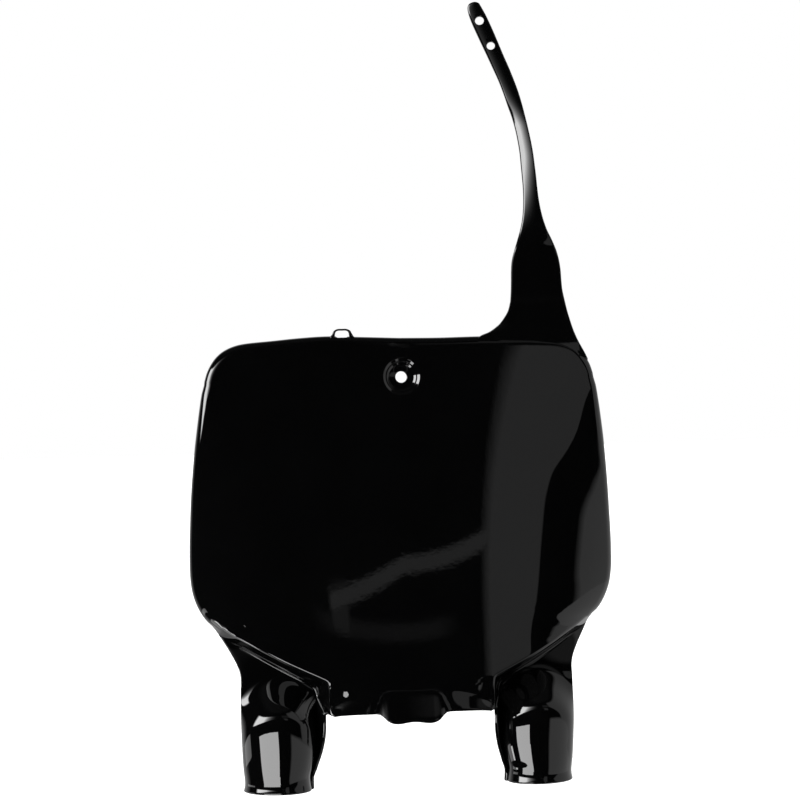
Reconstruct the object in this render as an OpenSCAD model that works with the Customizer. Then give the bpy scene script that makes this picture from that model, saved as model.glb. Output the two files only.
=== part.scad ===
// Racing number board for the front of an off-road motorcycle.
// One moulding: a curved board with a rolled edge, two half-round legs that
// cover the fork tubes, a strap that reaches up to the handlebar, a cable eye
// on the top edge and a stepped bolt seat.
// Millimetres. +X is the right side seen from the front, -Y is the front, +Z
// is up. The origin is the centre of the bolt hole on the floor of its seat.

/* [Board] */
// thickness of the moulded sheet
sheet = 2.6; // [2.2:0.1:2.8]
// radius of the roll along the sides and the top
roll_r = 6; // [5:0.5:6.5]
// straight part of the edge behind the roll
rim_w = 2; // [1:0.5:3]
// how far the board leans forward for each millimetre going down
lean = 0.095; // [0.08:0.005:0.11]
// depth of the pressed corners beside the lower edge
dimple_d = 1; // [0.2:0.1:1.2]
// how far the middle tongue stands out at its lower edge
tongue_h = 2.6; // [1:0.1:3]

/* [Bolt seat] */
// diameter of the bolt hole
bolt_d = 9; // [6:0.5:11]
// radius of the rim of the seat
seat_r = 14.2; // [13.6:0.1:15]
// radius of the flat step
step_r = 11.4; // [11:0.1:11.8]
// radius of the flat floor
floor_r = 9.8; // [8.4:0.1:10.2]
// depth of the flat step below the board
step_deep = 1.6; // [1.2:0.1:2]
// thickness of the floor
floor_t = 2.6; // [2:0.1:3.5]

/* [Legs] */
// how far the half-round legs stand out in front of the fork line
leg_round = 24.8; // [18:0.1:26]
// flare of the lip at the lower end
lip_flare = 1.2; // [0:0.1:2]

/* [Strap] */
// thickness of the strap
strap_t = 2.8; // [2.2:0.1:3.4]
// diameter of the hole at the tip
tip_hole_d = 7; // [5:0.1:8]
// diameter of the second hole
low_hole_d = 6.5; // [5:0.1:7.5]
// bow of the strap across its width
strap_bow = 0.6; // [0:0.1:1]

/* [Cable eye] */
// depth of the eye from front to back
eye_deep = 3.2; // [2.5:0.1:4]
// height of the slot
eye_slot_h = 5.3; // [4:0.1:6]
// wall of the arch over the slot
eye_wall = 1.5; // [1.2:0.1:2]

/* [Fineness] */
// steps along the ridge over each leg
n_ridge = 16; // [10:1:18]
// steps up each side
n_side = 16; // [10:1:18]
// steps round each top corner and along the top
n_top = 22; // [16:1:24]
// steps down the rolled edge
n_roll = 6; // [5:1:7]
// steps across the face to the centre line
n_face = 6; // [5:1:8]
// steps down each leg
n_leg = 14; // [10:1:16]

/* [Hidden] */
$fn = 48;
black = [0.02, 0.02, 0.02];

// outline of one side: height, half width at the rear edge
SIDE = [[-196.5, 146.0], [-192, 149.0], [-185, 155.3], [-175, 161.2], [-165, 164.6], [-155, 166.1], [-140, 166.5],
        [-125, 166.2], [-110, 165.5], [-95, 164.7], [-80, 163.6], [-65, 162.2], [-50, 160.6], [-35, 158.6],
        [-20, 156.4], [-10, 154.7], [0, 152.3], [30, 152.3]];
// depth of the rear edge behind the bolt seat's front plane: height, depth
DEPTH = [[-197, 21.5], [-185, 21.8], [-170, 22], [-155, 22], [-140, 21.6], [-110, 20.4], [-95, 19.3], [-80, 17.6],
         [-65, 15.4], [-50, 13.1], [-35, 11], [-20, 9.2], [0, 7.7], [20, 7.8], [32, 8]];
// where the flank starts to bend back: height, half width
FLANK = [[-200, 88], [-120, 93], [-90, 97], [-76, 103], [-62, 118], [-50, 128], [-20, 138], [20, 140]];
// top corner, from the top edge down to the side: x, z
CORNER = [[100, 30.2], [118, 28.8], [128, 27.0], [136.5, 23.4], [142.6, 18.6], [147.0, 12.8], [150.2, 6.6], [152.3, 0]];
// top edge right and left of the centre: x, z
TOP_R = [[0, 30.5], [32, 30.1], [60, 30.4], [100, 30.2]];
TOP_L = [[0, 30.5], [29, 31.8], [57, 32.9], [78, 32.0], [100, 30.2]];
// foot of the ridge over a leg, from the side inwards: x, z
FOOT = [[146.0, -196.5], [140.0, -201.3], [130.0, -207.0], [115.5, -216.0], [97.0, -226.8], [84.0, -234.0],
        [76.8, -237.8], [73.2, -241.0], [71.6, -245.5]];
// where that ridge meets the face: x, z
BROW = [[141.0, -190.5], [135.2, -194.2], [125.6, -199.2], [111.5, -206.8], [93.2, -216.6], [78.8, -223.6],
        [68.8, -228.4], [63.6, -231.6], [62.2, -236.6]];
// leg: height, x of the outer edge
LEG_OUT = [[-318, 129.4], [-312, 128.3], [-300, 129.3], [-280, 130.2], [-260, 130.6], [-240, 130.3], [-230, 130.2],
           [-225, 130.9], [-220, 132.5], [-215, 134.9], [-210, 137.7], [-205, 140.8], [-200, 143.9], [-196.5, 146.0]];
// leg: height, x of the free edge of the inner flange
LEG_IN = [[-318, 76.0], [-314, 76.6], [-309, 76.8], [-300, 74.2], [-287, 70.2], [-275, 68.2], [-262, 67.8], [-240, 67.0]];
// leg: height, width of that flange
FLANGE = [[-318, 0.6], [-309, 0.9], [-300, 1.6], [-287, 3.2], [-275, 4.4], [-258, 4.8], [-245.5, 4.6]];
// leg: height, depth of the outer edge, of the valley and of the free edge
Y_OUT = [[-318, 12], [-290, 8.4], [-265, 5.6], [-240, 5.2], [-230, 6.5], [-220, 9.5], [-210, 14], [-200, 19.5],
         [-196.5, 21.5]];
Y_VAL = [[-318, 7], [-290, 6.2], [-264, 5.5], [-240, 5.5], [-220, 6.5], [-196, 7]];
Y_FREE = [[-318, 6.6], [-309, 5.4], [-300, 2.6], [-287, -2.6], [-275, -7.2], [-262, -9], [-240, -9]];
// lower edge between the legs: x, z
LOWER = [[0, -264.2], [19.0, -263.9], [20.5, -263.0], [25.2, -258.6], [27.4, -257.8], [60.5, -257.8]];

// strap: height, left edge, right edge
STRAP = [[57, 88.2, 131.5], [65.0, 89.0, 130.1], [73.0, 89.5, 129.6], [81.0, 89.9, 129.4], [89.0, 90.8, 128.5],
         [97.0, 93.1, 126.6], [105.0, 95.9, 123.5], [113.0, 98.6, 119.8], [121.0, 100.6, 117.2], [129.0, 101.8,
         115.4], [137.0, 102.4, 114.2], [146.0, 102.6, 113.4], [156.0, 102.3, 112.8], [165.0, 101.9, 112.1], [174.9,
         101.5, 111.3], [184.9, 100.4, 110.0], [193.8, 99.0, 108.5], [203.7, 96.7, 106.7], [213.6, 93.6, 104.8],
         [223.5, 90.7, 102.5], [233.3, 87.4, 99.5], [243.1, 83.5, 96.1], [252.9, 79.5, 92.3], [262.6, 75.4, 88.7],
         [272.2, 71.4, 85.1], [281.9, 67.6, 81.2], [287.6, 65.9, 78.7], [291.5, 65.3, 76.7], [294.4, 65.8, 75.2],
         [296.3, 67.6, 73.8], [297.0, 69.5, 72.1]];
// strap: height, depth of its front
STRAP_Y = [[-10, -3.8], [0, -2.85], [20, -0.95], [24, -0.55], [31, 0.45], [45, 2.8], [60, 5.0], [100, 9.2], [150,
           15], [200, 23], [250, 31.5], [300, 38]];
// strap: height, how far it is turned to the left
STRAP_TURN = [[100, 0], [150, 22], [175, 28], [196, 28], [203, 24.5], [210, 20], [218, 15], [228, 12], [250, 11],
              [300, 10]];
// slope of the strap at its holes, across and up
STRAP_TILT = [-0.185, 0.14];
// root of the strap: lower edge, left edge and right edge, x and z
ROOT_LOW = [[58, 24.4], [80, 23.8], [100, 23.7], [117.8, 23.2], [127.2, 21.6], [134, 18.6], [139, 14.4], [142.2,
          10.8], [144.2, 8]];
ROOT_L = [[58, 24.4], [63, 30.4], [70.5, 33.6], [76.5, 37.6], [80.3, 41.2], [85.7, 49.1], [88.2, 57]];
ROOT_R = [[144.2, 8], [147.2, 8.8], [148.3, 10.6], [147, 13.2], [144.1, 19], [140.8, 25.4], [137.6, 33.3],
          [135.2, 41.2], [133.1, 49.1], [131.5, 57]];

z_lip = -318;        // lower end of the legs
seat_deep = 3 * cos(atan(lean));        // depth of the seat's floor below the board
n_flange = 3;        // steps along the foot of the flange
n_strap_root = 7;    // rows in the root of the strap
n_strap_wide = 8;    // steps across the strap

j_leg = n_flange + n_ridge;             // last column that reaches down a leg
j_top = j_leg + n_side + n_top;         // column on the centre line
n_corner = round(n_top * 0.42);
k_end = n_roll + n_face;                // ring on the centre line

// ---- small helpers ----
function segment(t, x, i = 0) = t[i + 1][0] >= x ? i : segment(t, x, i + 1);
function tangent(t, i, c) =
    let (wa = t[i + 1][0] - t[i][0], wb = t[i][0] - t[i - 1][0],
         a = (t[i][c] - t[i - 1][c]) / wb, b = (t[i + 1][c] - t[i][c]) / wa)
    a * b <= 0 ? 0 : (a * wa + b * wb) / (wa + wb);
// smooth curve through the points of a table, column c against column 0
function table(t, x, c = 1) =
    let (n = len(t))
    x <= t[0][0] ? t[0][c] :
    x >= t[n - 1][0] ? t[n - 1][c] :
    let (i = segment(t, x), h = t[i + 1][0] - t[i][0], s = (t[i + 1][c] - t[i][c]) / h,
         m0 = i == 0 ? s : tangent(t, i, c), m1 = i == n - 2 ? s : tangent(t, i + 1, c), u = (x - t[i][0]) / h)
    t[i][c] * (1 + 2 * u) * pow(1 - u, 2) + h * m0 * u * pow(1 - u, 2) + t[i + 1][c] * u * u * (3 - 2 * u)
    + h * m1 * u * u * (u - 1);
// point at parameter s on a smooth curve through the points p
function along(p, s) =
    let (n = len(p), i = min(floor(s), n - 2), u = s - i,
         a = i > 0 ? p[i - 1] : 2 * p[0] - p[1], b = p[i], c = p[i + 1],
         d = i + 2 < n ? p[i + 2] : 2 * p[n - 1] - p[n - 2])
    0.5 * (2 * b + (c - a) * u + (2 * a - 5 * b + 4 * c - d) * u * u + (3 * b - a - 3 * c + d) * u * u * u);
function clamp(x) = min(max(x, 0), 1);
function ease(x) = let (u = clamp(x)) u * u * (3 - 2 * u);
function unit(v) = v / norm(v);

// ---- face of the board ----
function axis_y(z) = lean * z - 3;
function crown(z) = table([[-264, 0.00042], [-120, 0.00030], [0, 0.00014], [30, 0.00010]], z);
function flank_x(z) = table(FLANK, z);
function wide(z) = z < -205 ? 143 : z < -196.5 ? 143 + 3 * (z + 205) / 8.5 : table(SIDE, z);
function plain_face(x, z) =
    let (a = abs(x), w = wide(z), q = crown(z), x0 = flank_x(z),
         e = table(DEPTH, z) - roll_r - rim_w - axis_y(z) - q * w * w)
    axis_y(z) + q * a * a + e * pow(max(0, (a - x0) / (w - x0)), 2.2);
// pressed corner beside the flange, folded along one line
function dimple(x, z) =
    let (a = abs(x),
         zc = table([[30, -242.5], [43, -243.6], [53, -247.4], [59.5, -251.6], [66, -254]], a),
         zu = table([[30, -239.8], [45, -239.6], [50.5, -239.2], [53.5, -234.6], [64, -232.4]], a), zb = -257.5,
         d = dimple_d * table([[30, 0], [43, 0.9], [53, 2.2], [62, 3.4], [66, 3.6]], a))
    a < 30 || z >= zu || z <= zb ? 0 : z > zc ? d * (zu - z) / (zu - zc) : d * (z - zb) / (zc - zb);
function tongue(x, z) =
    let (g = min(max((-243 - z) / 15, 0), 1.3))
    g > 0 ? tongue_h * g * (1 - ease((abs(x) - 18.6) / (3.4 + 6.6 * min(g, 1)))) : 0;
function face(x, z) = plain_face(x, z) + dimple(x, z) - tongue(x, z);

// ---- leg: q runs from the outer edge (0) over the round to the valley (1) and to the free edge (2) ----
function round_out(z, c) = 1.2 + leg_round * ease((-242 - z + 14 * c * c) / 32) + lip_flare * ease((-311 - z) / 7);
function leg(q, z) =
    let (xf = table(LEG_IN, z), xc = xf + table(FLANGE, z), xo = table(LEG_OUT, z), s = sin(90 - 180 * q), c = max(0, cos(90 - 180 * q)),
         u = (1 - s) / 2)
    q <= 1 ? [(xo + xc) / 2 + (xo - xc) / 2 * s,
              table(Y_OUT, z) * (1 - u) + table(Y_VAL, z) * u - round_out(z, c) * c, z]
    : [xc + (xf - xc) * (q - 1), table(Y_VAL, z) * (2 - q) + table(Y_FREE, z) * (q - 1), z];
function leg_q(x, z) =
    let (xc = table(LEG_IN, z) + table(FLANGE, z), xo = table(LEG_OUT, z), s = (x - (xo + xc) / 2) / ((xo - xc) / 2))
    (90 - asin(min(1, max(-1, s)))) / 180;

// ---- wall from its foot (0) up to the face (1): [distance from the foot, depth behind the face] ----
function wall(t, s, h, r1, r2) =
    let (rho = r1 + r2, l = sqrt(max(0.0001, s * s + (h - rho) * (h - rho) - rho * rho)),
         w = atan2(h - rho, s) + atan2(rho, l), k = 3 * PI / 180, l2 = r2 * w * k, l1 = r1 * w * k, p = t * (l2 + l + l1))
    p < l2 ? let (f = w * p / l2) [r2 * sin(f), h - r2 * (1 - cos(f))] :
    p < l2 + l ? let (g = p - l2) [r2 * sin(w) + g * cos(w), h - r2 * (1 - cos(w)) - g * sin(w)] :
    let (f = w * (1 - (p - l2 - l) / l1)) [s - r1 * sin(f), r1 * (1 - cos(f))];

// ---- grid of the front surface: columns j from the lower corner round to the top centre, rings k inwards ----
function ring(left, j) =
    j <= n_flange ? let (p = leg(2 - j / n_flange, -258 + 12.5 * j / n_flange)) [p[0], p[2]] :
    j <= j_leg ? along(FOOT, (len(FOOT) - 1) * (1 - (j - n_flange) / n_ridge)) :
    j <= j_leg + n_side ? let (z = -196.5 + 196.5 * (j - j_leg) / n_side) [wide(z), z] :
    let (i = j - j_leg - n_side)
    i <= n_corner ? along(CORNER, (len(CORNER) - 1) * (1 - i / n_corner)) :
    let (x = 100 * (1 - (i - n_corner) / (n_top - n_corner))) [x, table(left ? TOP_L : TOP_R, x)];
function inward(left, j) =
    let (a = ring(left, max(j - 1, 0)), b = j == j_top ? [-a[0], a[1]] : ring(left, j + 1), d = unit(b - a)) [-d[1], d[0]];
function brow(left, j, f) =
    j <= n_flange ? [60.5 + 1.7 * j / n_flange, -258 + 21.4 * j / n_flange] :
    j <= j_leg ? along(BROW, (len(BROW) - 1) * (1 - (j - n_flange) / n_ridge)) :
    f + roll_r * inward(left, j);
function spine(j) =
    j <= n_flange ? -264.2 + 24.2 * j / n_flange :
    j <= j_leg ? -240 + 75 * (j - n_flange) / n_ridge :
    j <= j_leg + n_side ? -165 + 85 * (j - j_leg) / n_side :
    -80 + 34 * (j - j_leg - n_side) / n_top;
function column(left, j) =
    let (sx = left ? -1 : 1, f = ring(left, j), t = brow(left, j, f),
         q0 = j <= n_flange ? 2 - j / n_flange : j <= j_leg ? leg_q(f[0], f[1]) : 0,
         q1 = j <= n_flange ? q0 : 1 - (j - n_flange) / n_ridge,
         e = 1 - ease((-196.5 - f[1]) / 10),
         g = j > j_leg && j <= j_leg + n_side ? 1 - ease((f[1] + 196.5) / 10) : 0,
         h = j > j_leg ? roll_r + rim_w : leg(q0, f[1])[1] - plain_face(f[0], f[1]),
         r1 = j > j_leg ? roll_r * 0.999 * (1 - g) + 3 * g : 3,
         r2 = j > j_leg ? 0.001 : 2 * (1 - e) + 0.01,
         s = norm(t - f), fade = j < n_flange ? 1 - j / n_flange : 0, zs = spine(j))
    concat(
        j <= j_leg ? [for (r = [n_leg:-1:1]) let (p = leg(q0 + (q1 - q0) * r / n_leg, f[1] + (z_lip - f[1]) * r / n_leg))
            [p[0] * sx, p[1], p[2]]] : [for (r = [1:n_leg]) [0, 0, 0]],
        [for (i = [0:n_roll]) let (w = wall(i / n_roll, s, h, r1, r2), p = f + (t - f) * w[0] / s,
            b = ease((i / n_roll - 0.5) * 2))
            [p[0] * sx, plain_face(p[0], p[1]) + (face(p[0], p[1]) - plain_face(p[0], p[1])) * b + w[1], p[1]]],
        [for (i = [1:n_face]) let (v = i / n_face, c = v * (0.625 + 0.375 * v), x = t[0] * (1 - c),
            z0 = t[1] * (1 - c) + zs * c, z = fade > 0 ? z0 + fade * (table(LOWER, x) + 258 * (1 - c) + 264.2 * c) : z0)
            [x * sx, face(x, z), z]]);

module plate_shell() {
    right = [for (j = [0:j_top]) column(false, j)];
    left = concat([for (j = [0:j_top - 1]) column(true, j)], [right[j_top]]);
    sides = [right, left];
    // point of the grid, mirrored past the centre line
    function at(s, j, k) =
        k > k_end ? let (p = at(s, j, k_end - 1)) [-p[0], p[1], p[2]] :
        j > j_top ? let (p = at(s, j_top - 1, k)) [-p[0], p[1], p[2]] :
        sides[s][max(j, 0)][max(k, j <= j_leg ? -n_leg : 0) + n_leg];
    function back(s, j, k) =
        let (jn = k >= 0 || j < j_leg ? j + 1 : j, a = at(s, j, k - 1), b = at(s, j, k + 1),
             c = at(s, j - 1, k), d = at(s, jn, k), p = at(s, j, k),
             m = cross(b - a, d - c) * (s == 0 ? 1 : -1))
        p + unit(k == k_end && j == j_top ? [0, 1, -lean] : m) * sheet;
    // numbering: right half whole, left half without the shared centre line, then the legs
    n_right = (j_top + 1) * (k_end + 1);
    n_left = j_top * k_end;
    n_down = (j_leg + 1) * n_leg;
    n_all = n_right + n_left + 2 * n_down;
    function id(s, j, k) =
        k < 0 ? n_right + n_left + s * n_down + j * n_leg - k - 1 :
        s == 0 || k == k_end || j == j_top ? j * (k_end + 1) + k : n_right + j * k_end + k;
    points = [for (b = [0, 1]) each [
        for (j = [0:j_top], k = [0:k_end]) b == 0 ? at(0, j, k) : back(0, j, k),
        for (j = [0:j_top - 1], k = [0:k_end - 1]) b == 0 ? at(1, j, k) : back(1, j, k),
        for (s = [0, 1], j = [0:j_leg], r = [1:n_leg]) b == 0 ? at(s, j, -r) : back(s, j, -r)]];
    function turn(f, flip) = flip ? [f[2], f[1], f[0]] : f;
    function pair(a, b, c, d, flip) = [turn([a, b, c], flip), turn([a, c, d], flip)];
    skin = [for (o = [0, 1], s = [0, 1], j = [0:j_top - 1], k = [(j < j_leg ? -n_leg : 0):k_end - 1])
        each pair(id(s, j, k) + o * n_all, id(s, j, k + 1) + o * n_all, id(s, j + 1, k + 1) + o * n_all,
                  id(s, j + 1, k) + o * n_all, (s + o) % 2 == 1)];
    function edge(s) = concat(
        [for (k = [k_end:-1:-n_leg]) id(s, 0, k)], [for (j = [1:j_leg]) id(s, j, -n_leg)],
        [for (k = [-n_leg + 1:0]) id(s, j_leg, k)], [for (j = [j_leg + 1:j_top]) id(s, j, 0)]);
    rim = [for (s = [0, 1]) let (e = edge(s)) for (i = [0:len(e) - 2])
        each pair(e[i], e[i + 1], e[i + 1] + n_all, e[i] + n_all, s == 1)];
    polyhedron(points = points, faces = concat(skin, rim));
}

// the seat stands square to the leaning board
module on_seat_axis() {
    rotate([-90 - atan(lean), 0, 0]) children();
}
// cup behind the stepped seat
module seat_cup() {
    on_seat_axis() rotate_extrude()
        polygon([[0, -1.2], [seat_r + 1, -2.4], [seat_r + 1.6, -0.6], [floor_r + 3.4, floor_t], [0, floor_t]]);
}
// the stepped recess and the bolt hole
module seat_cut() {
    on_seat_axis() rotate_extrude()
        polygon([[0, -9], [seat_r + 6, -9], [seat_r, -seat_deep], [step_r + 1, step_deep - seat_deep],
                 [step_r, step_deep - seat_deep], [floor_r, 0], [0, 0]]);
    on_seat_axis() translate([0, 0, -8]) cylinder(d = bolt_d, h = 20);
}

// ---- strap ----
function strap_depth(u, x_mid, x, z) =
    table(STRAP_Y, z) - (x - x_mid) * tan(table(STRAP_TURN, z)) + strap_bow * pow(2 * u - 1, 2) * ease((z - 60) / 40);
function strap_row(i) = [for (c = [0:n_strap_wide]) let (u = c / n_strap_wide, z = STRAP[i][0],
    x = STRAP[i][1] * (1 - u) + STRAP[i][2] * u) [x, strap_depth(u, (STRAP[i][1] + STRAP[i][2]) / 2, x, z), z]];
// the root leaves the board flush with its face
function root_y(x, z) = let (zc = min(z, 26))
    table(STRAP_Y, z) + (plain_face(min(x, 146), zc) - axis_y(zc)) * (1 - ease((z - 24) / 33))
        + 3 * ease((15 - z) / 7) * ease((x - 140) / 5);
// patch between the four curved edges of the root
function root_row(i) = [for (c = [0:n_strap_wide]) let (u = c / n_strap_wide, t = i / n_strap_root,
    l = along(ROOT_L, (len(ROOT_L) - 1) * t), r = along(ROOT_R, (len(ROOT_R) - 1) * t),
    b = along(ROOT_LOW, (len(ROOT_LOW) - 1) * u), h = [88.2 * (1 - u) + 131.5 * u, 57],
    p = (1 - u) * l + u * r + (1 - t) * b + t * h
        - ((1 - u) * (1 - t) * ROOT_LOW[0] + u * (1 - t) * ROOT_LOW[len(ROOT_LOW) - 1]
           + (1 - u) * t * [88.2, 57] + u * t * [131.5, 57]))
    [p[0], root_y(p[0], p[1]), p[1]]];
// round hole square to the strap
module strap_hole(x, z, d) {
    translate([x, table(STRAP_Y, z), z]) rotate([90, 0, 0])
        rotate([-atan(STRAP_TILT[1] * cos(atan(STRAP_TILT[0]))), atan(STRAP_TILT[0]), 0]) translate([0, 0, -12]) cylinder(d = d, h = 20);
}
module top_strap() {
    rows = concat([for (i = [0:n_strap_root - 1]) root_row(i)], [for (i = [0:len(STRAP) - 1]) strap_row(i)]);
    n = len(rows);
    w = n_strap_wide + 1;
    difference() {
        polyhedron(
            points = [for (b = [0, 1], r = rows, p = r) p + [0, b * strap_t * (1 + 0.08 * ease((p[2] - 150) / 60)), 0]],
            faces = concat(
                [for (i = [0:n - 2], c = [0:w - 2]) let (a = i * w + c) each [[a, a + w, a + w + 1], [a, a + w + 1, a + 1]]],
                [for (i = [0:n - 2], c = [0:w - 2]) let (a = n * w + i * w + c)
                    each [[a, a + w + 1, a + w], [a, a + 1, a + w + 1]]],
                [for (i = [0:n - 2]) let (a = i * w) each [[a, a + n * w, a + n * w + w], [a, a + n * w + w, a + w]]],
                [for (i = [0:n - 2]) let (a = i * w + w - 1) each [[a, a + w, a + n * w + w], [a, a + n * w + w, a + n * w]]],
                [for (c = [0:w - 2]) each [[c, c + 1, c + n * w + 1], [c, c + n * w + 1, c + n * w]]],
                [for (c = [0:w - 2]) let (a = (n - 1) * w + c)
                    each [[a, a + n * w, a + n * w + 1], [a, a + n * w + 1, a + 1]]]));
        strap_hole(73.9, 281.9, tip_hole_d);
        strap_hole(82.1, 261.5, low_hole_d);
    }
}

// ---- cable eye on the top edge ----
eye_top = 38.4;
eye_r = 5.2;
slot_r = eye_slot_h / 2;
slot_z = eye_top - eye_wall - slot_r;
module cable_eye() {
    translate([0, 2.5 + eye_deep, 0]) rotate([90, 0, 0]) linear_extrude(eye_deep) {
        polygon([[-54.7, 29.6], [-54.2, 32.4], [-52.4, 33.6], [-51.9, 35.6], [-49.6, 37.9], [-39.6, 37.9], [-37.6, 36],
                 [-36.6, 33.6], [-34.2, 31.6], [-34.2, 29.6]]);
        translate([-47.6, eye_top - eye_r]) circle(r = eye_r);
        translate([-42.4, eye_top - eye_r]) circle(r = eye_r);
        translate([-47.6, 30]) square([5.2, eye_top - 30]);
    }
}
module eye_slot() {
    translate([0, 12, 0]) rotate([90, 0, 0]) linear_extrude(14) {
        translate([-47.85, slot_z]) circle(r = slot_r);
        translate([-42.25, slot_z]) circle(r = slot_r);
        translate([-47.85, slot_z - slot_r]) square([5.6, 2 * slot_r]);
    }
}

module number_plate() {
    color(black) difference() {
        union() {
            plate_shell();
            seat_cup();
            top_strap();
            cable_eye();
        }
        seat_cut();
        eye_slot();
    }
}

number_plate();
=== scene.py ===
# Looks for the racing number board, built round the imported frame. Metres, same frame as the CAD part.
import math
from math import asin, atan, atan2, cos, degrees, floor, hypot, pi, radians, sin, sqrt, tan

import bpy
from mathutils import Matrix, Vector
from mathutils.geometry import delaunay_2d_cdt


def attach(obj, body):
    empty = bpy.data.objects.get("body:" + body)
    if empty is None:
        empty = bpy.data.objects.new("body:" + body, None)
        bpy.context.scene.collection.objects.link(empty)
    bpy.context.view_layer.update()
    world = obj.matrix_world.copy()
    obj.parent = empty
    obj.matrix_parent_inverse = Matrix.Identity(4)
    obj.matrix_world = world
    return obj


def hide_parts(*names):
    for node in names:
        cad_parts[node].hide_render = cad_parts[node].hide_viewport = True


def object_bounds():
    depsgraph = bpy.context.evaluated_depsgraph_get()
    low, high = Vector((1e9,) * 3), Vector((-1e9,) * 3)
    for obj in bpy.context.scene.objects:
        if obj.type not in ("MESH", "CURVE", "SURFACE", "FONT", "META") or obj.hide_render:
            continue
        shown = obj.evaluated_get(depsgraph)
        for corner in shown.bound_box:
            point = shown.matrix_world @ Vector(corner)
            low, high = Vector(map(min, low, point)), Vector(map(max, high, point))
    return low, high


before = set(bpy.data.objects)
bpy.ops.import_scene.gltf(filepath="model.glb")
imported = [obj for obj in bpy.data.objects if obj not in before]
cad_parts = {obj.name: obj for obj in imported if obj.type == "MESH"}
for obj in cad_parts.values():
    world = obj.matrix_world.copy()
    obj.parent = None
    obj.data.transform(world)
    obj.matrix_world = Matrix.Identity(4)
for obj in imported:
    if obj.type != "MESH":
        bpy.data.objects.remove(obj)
cad_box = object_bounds()

# ------------------------------------------------------------------ sizes, millimetres
SHEET = 2.6          # thickness of the moulded sheet
ROLL = 6.0           # radius of the rolled edge
RIM = 2.0            # straight part behind the roll
LEAN = 0.095         # forward lean of the board
EDGE = 0.8           # rounding of the free edges
Z_LIP = -318.0

SIDE = [(-196.5, 146.0), (-192, 149.0), (-185, 155.3), (-175, 161.2), (-165, 164.6), (-155, 166.1), (-140, 166.5),
        (-125, 166.2), (-110, 165.5), (-95, 164.7), (-80, 163.6), (-65, 162.2), (-50, 160.6), (-35, 158.6),
        (-20, 156.4), (-10, 154.7), (0, 152.3), (30, 152.3)]
DEPTH = [(-197, 21.5), (-185, 21.8), (-170, 22), (-155, 22), (-140, 21.6), (-110, 20.4), (-95, 19.3), (-80, 17.6),
         (-65, 15.4), (-50, 13.1), (-35, 11), (-20, 9.2), (0, 7.7), (20, 7.8), (32, 8)]
CORNER = [(100, 30.2), (118, 28.8), (128, 27.0), (136.5, 23.4), (142.6, 18.6), (147.0, 12.8), (150.2, 6.6), (152.3, 0)]
TOP_R = [(0, 30.5), (32, 30.1), (60, 30.4), (100, 30.2)]
TOP_L = [(0, 30.5), (29, 31.8), (57, 32.9), (78, 32.0), (100, 30.2)]
FOOT = [(146.0, -196.5), (140.0, -201.3), (130.0, -207.0), (115.5, -216.0), (97.0, -226.8), (84.0, -234.0),
        (76.8, -237.8), (73.2, -241.0), (71.6, -245.5)]
BROW = [(141.0, -190.5), (135.2, -194.2), (125.6, -199.2), (111.5, -206.8), (93.2, -216.6), (78.8, -223.6),
        (68.8, -228.4), (63.6, -231.6), (62.2, -236.6)]
LEG_OUT = [(-318, 129.4), (-312, 128.3), (-300, 129.3), (-280, 130.2), (-260, 130.6), (-240, 130.3), (-230, 130.2),
           (-225, 130.9), (-220, 132.5), (-215, 134.9), (-210, 137.7), (-205, 140.8), (-200, 143.9), (-196.5, 146.0)]
LEG_IN = [(-318, 76.0), (-314, 76.6), (-309, 76.8), (-300, 74.2), (-287, 70.2), (-275, 68.2), (-262, 67.8), (-240, 67.0)]
FLANGE = [(-318, 0.6), (-309, 0.9), (-300, 1.6), (-287, 3.2), (-275, 4.4), (-258, 4.8), (-245.5, 4.6)]
Y_OUT = [(-318, 12), (-290, 8.4), (-265, 5.6), (-240, 5.2), (-230, 6.5), (-220, 9.5), (-210, 14), (-200, 19.5),
         (-196.5, 21.5)]
Y_VAL = [(-318, 7), (-290, 6.2), (-264, 5.5), (-240, 5.5), (-220, 6.5), (-196, 7)]
Y_FREE = [(-318, 6.6), (-309, 5.4), (-300, 2.6), (-287, -2.6), (-275, -7.2), (-262, -9), (-240, -9)]
LOWER = [(0, -264.2), (19.0, -263.9), (20.5, -263.0), (25.2, -258.6), (27.4, -257.8), (60.5, -257.8)]
STRAP = [(57, 88.2, 131.5), (65.0, 89.0, 130.1), (73.0, 89.5, 129.6), (81.0, 89.9, 129.4), (89.0, 90.8, 128.5),
         (97.0, 93.1, 126.6), (105.0, 95.9, 123.5), (113.0, 98.6, 119.8), (121.0, 100.6, 117.2), (129.0, 101.8,
         115.4), (137.0, 102.4, 114.2), (146.0, 102.6, 113.4), (156.0, 102.3, 112.8), (165.0, 101.9, 112.1), (174.9,
         101.5, 111.3), (184.9, 100.4, 110.0), (193.8, 99.0, 108.5), (203.7, 96.7, 106.7), (213.6, 93.6, 104.8),
         (223.5, 90.7, 102.5), (233.3, 87.4, 99.5), (243.1, 83.5, 96.1), (252.9, 79.5, 92.3), (262.6, 75.4, 88.7),
         (272.2, 71.4, 85.1), (281.9, 67.6, 81.2), (287.6, 65.9, 78.7), (291.5, 65.3, 76.7), (294.4, 65.8, 75.2),
         (296.3, 67.6, 73.8), (297.0, 69.5, 72.1)]
STRAP_Y = [(-10, -3.8), (0, -2.85), (20, -0.95), (24, -0.55), (31, 0.45), (45, 2.8), (60, 5.0), (100, 9.2), (150,
           15), (200, 23), (250, 31.5), (300, 38)]
STRAP_TURN = [(100, 0), (150, 22), (175, 28), (196, 28), (203, 24.5), (210, 20), (218, 15), (228, 12), (250, 11),
              (300, 10)]
ROOT_LOW = [(58, 24.4), (80, 23.8), (100, 23.7), (117.8, 23.2), (127.2, 21.6), (134, 18.6), (139, 14.4), (142.2,
          10.8), (144.2, 8)]
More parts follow.
